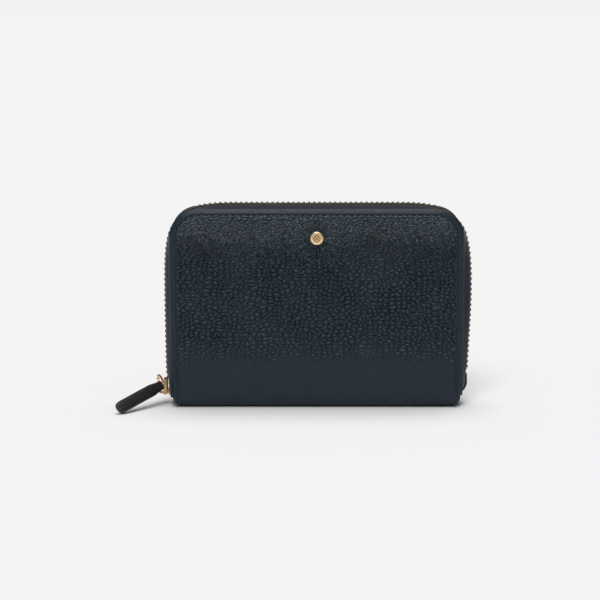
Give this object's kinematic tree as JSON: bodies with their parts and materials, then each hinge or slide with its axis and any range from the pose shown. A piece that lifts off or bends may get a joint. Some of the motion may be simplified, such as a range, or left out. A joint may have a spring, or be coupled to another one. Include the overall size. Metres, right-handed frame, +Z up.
{
  "type": "card holder",
  "caption": "Compact zip-around leather card holder that stands on its spine, with stepped card slots, a slip pocket in each half, a metal zip with ring and leather pull, and a domed stud.",
  "frame": {"origin": "on the flat underside of the spine, at its middle", "axes": "+X to the right seen from the front cover, which faces -Y, +Z up through the zip's top run"},
  "size_m": [0.1309, 0.0323, 0.0762],
  "materials": {
    "outer_leather": "pebbled grain, satin",
    "dark_leather": "smooth, satin",
    "lining_cloth": "fine twill, matt",
    "zip_cloth": "herringbone tape, matt",
    "thread": "twisted thread, matt",
    "foam": "thin soft padding, matt",
    "board": "grey-brown stiffening board, matt",
    "gold_metal": "pale gold plated, satin",
    "zip_metal": "light gold plated teeth, worn bright"
  },
  "bodies": {
    "spine": {"spine_leather": "outer_leather", "spine_board": "board", "spine_lining": "lining_cloth", "front_fold_leather": "outer_leather", "back_fold_leather": "outer_leather", "front_fold_lining": "lining_cloth", "back_fold_lining": "lining_cloth", "zip_end_tab": "dark_leather", "zip_bottom_stop": "gold_metal"},
    "front_half": {"front_cover_leather": "outer_leather", "front_foam": "foam", "front_board": "board", "front_lining": "lining_cloth", "front_slip_pocket": "dark_leather", "front_stitching": "thread", "front_zip_tape": "zip_cloth", "front_teeth_left": "zip_metal", "front_teeth_top": "zip_metal", "front_teeth_right": "zip_metal", "front_top_stop": "gold_metal", "front_card_slot_1": "outer_leather", "front_card_slot_2": "outer_leather", "front_card_slot_3": "outer_leather", "front_card_slot_4": "outer_leather", "stud_head": "gold_metal", "stud_post": "gold_metal", "stud_washer": "gold_metal"},
    "back_half": {"back_cover_leather": "outer_leather", "back_foam": "foam", "back_board": "board", "back_lining": "lining_cloth", "back_slip_pocket": "dark_leather", "back_stitching": "thread", "back_zip_tape": "zip_cloth", "back_teeth_left": "zip_metal", "back_teeth_top": "zip_metal", "back_teeth_right": "zip_metal", "back_top_stop": "gold_metal", "back_card_slot_1": "outer_leather", "back_card_slot_2": "outer_leather", "back_card_slot_3": "outer_leather", "back_card_slot_4": "outer_leather"},
    "zip_slider": {"zip_slider": "gold_metal", "slider_bridge": "gold_metal"},
    "pull_ring": {"pull_ring": "gold_metal"},
    "pull_tab": {"pull_tab": "dark_leather"}
  },
  "joints": [
    {"name": "front_opens", "type": "hinge", "parent": "spine", "child": "front_half", "pos_m": [0, -0.00853, 0.00097], "axis": [1, 0, 0], "range_deg": [0, 90], "deforming": ["front_fold_leather", "front_fold_lining"]},
    {"name": "back_opens", "type": "hinge", "parent": "spine", "child": "back_half", "pos_m": [0, 0.00853, 0.00097], "axis": [-1, 0, 0], "range_deg": [0, 90], "deforming": ["back_fold_leather", "back_fold_lining"]},
    {"name": "slider_travel", "type": "slide", "parent": "back_half", "child": "zip_slider", "axis": [0, 0, 1], "range_m": [0, 0.05], "deforming": ["front_teeth_left", "back_teeth_left"]},
    {"name": "ring_swings", "type": "hinge", "parent": "zip_slider", "child": "pull_ring", "pos_m": [-0.05795, 0, 0.0056], "axis": [0.1736, 0.9848, 0], "range_deg": [-90, 5]},
    {"name": "tab_swings", "type": "hinge", "parent": "pull_ring", "child": "pull_tab", "pos_m": [-0.05882, -0.00224, 0.00703], "axis": [0.3492, 0.3676, -0.8619], "range_deg": [-35, 60]}
  ],
  "couplings": [
    {"joint": "back_opens", "follows": "front_opens", "ratio": 1}
  ]
}
